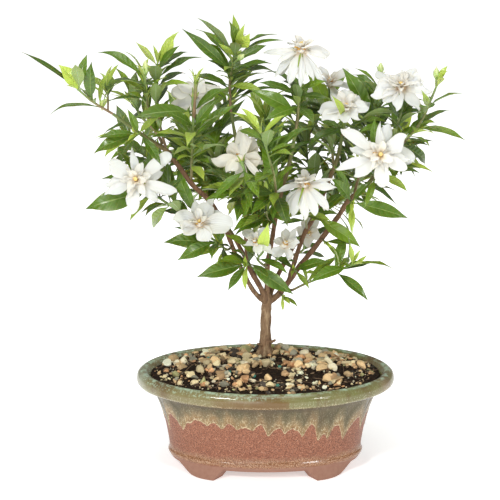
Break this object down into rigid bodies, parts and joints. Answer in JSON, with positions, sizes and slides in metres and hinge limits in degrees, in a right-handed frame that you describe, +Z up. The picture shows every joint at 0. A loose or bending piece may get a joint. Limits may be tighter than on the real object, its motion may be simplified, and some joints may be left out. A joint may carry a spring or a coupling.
{
  "type": "gardenia bonsai",
  "caption": "Small flowering evergreen grown as a tree, with white double blooms, in an oval footed pot of glazed clay with soil and pebbles.",
  "frame": {"origin": "the middle of the whole plant and pot, on the plane that the pot's feet stand on", "axes": "+Z up along the trunk, +X to the right along the pot's long side, -Y towards the viewer of the picture"},
  "size_m": [0.328, 0.2088, 0.3605],
  "materials": {
    "pot_glaze": "glossy",
    "soil": "rough",
    "bark": "rough",
    "leaf": "satin",
    "petal": "matte",
    "stigma": "matte"
  },
  "bodies": {
    "root": {"pot": "pot_glaze", "soil": "soil", "trunk": "bark", "spray_left_tip": "leaf", "spray_left_arm": "leaf", "spray_left_upper": "leaf", "spray_left_shoot": "leaf", "spray_bloom_left": "leaf", "spray_bloom_lower_left": "leaf", "spray_low_left": "leaf", "spray_fork": "leaf", "spray_top": "leaf", "spray_bloom_top_left": "leaf", "spray_bloom_centre": "leaf", "spray_centre_front": "leaf", "spray_bloom_top": "leaf", "spray_bloom_mid_right": "leaf", "spray_centre_young": "leaf", "spray_inner_right": "leaf", "spray_inner_side": "leaf", "spray_low_blooms": "leaf", "spray_bloom_low_back": "leaf", "spray_lower_right": "leaf", "spray_right_low": "leaf", "spray_right_mid": "leaf", "spray_right_node": "leaf", "spray_bloom_right": "leaf", "spray_far_right": "leaf", "spray_right_back": "leaf", "spray_bloom_upper_mid": "leaf", "spray_bloom_back": "leaf", "spray_back_left": "leaf", "spray_back_centre": "leaf", "spray_back_right": "leaf", "bloom_left_petals": "petal", "bloom_left_stigma": "stigma", "bloom_lower_left_petals": "petal", "bloom_lower_left_stigma": "stigma", "bloom_low_left_petals": "petal", "bloom_low_left_stigma": "stigma", "bloom_low_right_petals": "petal", "bloom_low_right_stigma": "stigma", "bloom_low_back_petals": "petal", "bloom_low_back_stigma": "stigma", "bloom_mid_right_petals": "petal", "bloom_mid_right_stigma": "stigma", "bloom_top_petals": "petal", "bloom_top_stigma": "stigma", "bloom_right_petals": "petal", "bloom_right_stigma": "stigma", "bloom_upper_right_petals": "petal", "bloom_upper_right_stigma": "stigma", "bloom_upper_mid_petals": "petal", "bloom_upper_mid_stigma": "stigma", "bloom_top_left_petals": "petal", "bloom_top_left_stigma": "stigma", "bloom_centre_petals": "petal", "bloom_centre_stigma": "stigma", "bloom_back_petals": "petal", "bloom_back_stigma": "stigma"}
  },
  "joints": []
}
